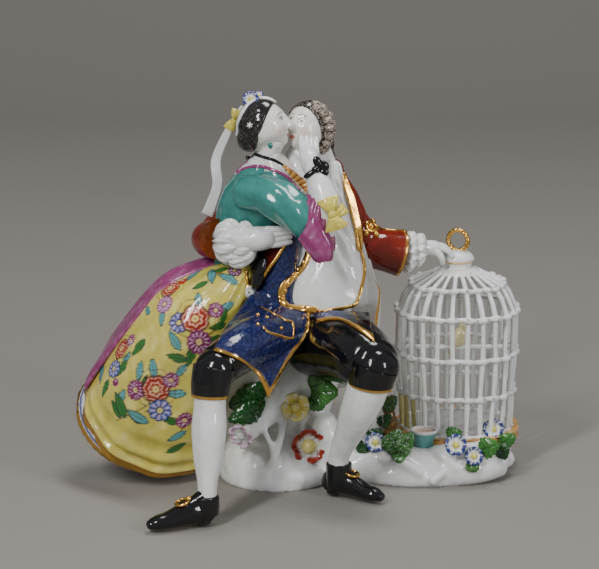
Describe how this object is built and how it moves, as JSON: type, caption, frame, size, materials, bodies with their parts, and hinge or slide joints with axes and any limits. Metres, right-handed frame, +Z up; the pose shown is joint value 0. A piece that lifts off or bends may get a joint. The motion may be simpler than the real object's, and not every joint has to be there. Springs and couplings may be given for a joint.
{
  "type": "courting couple figurine",
  "caption": "Porcelain figurine of a seated couple embracing beside a domed birdcage on a rock base with flowers.",
  "frame": {"origin": "middle of the group's outline, on the surface it stands on", "axes": "+Z up, the couple faces -Y, the birdcage is at +X and the lady's skirt at -X"},
  "size_m": [0.1524, 0.1038, 0.1349],
  "materials": {
    "porcelain": "glossy white glaze, painted in enamel colours and gold"
  },
  "bodies": {
    "root": {"courting_couple": "porcelain"}
  },
  "joints": []
}
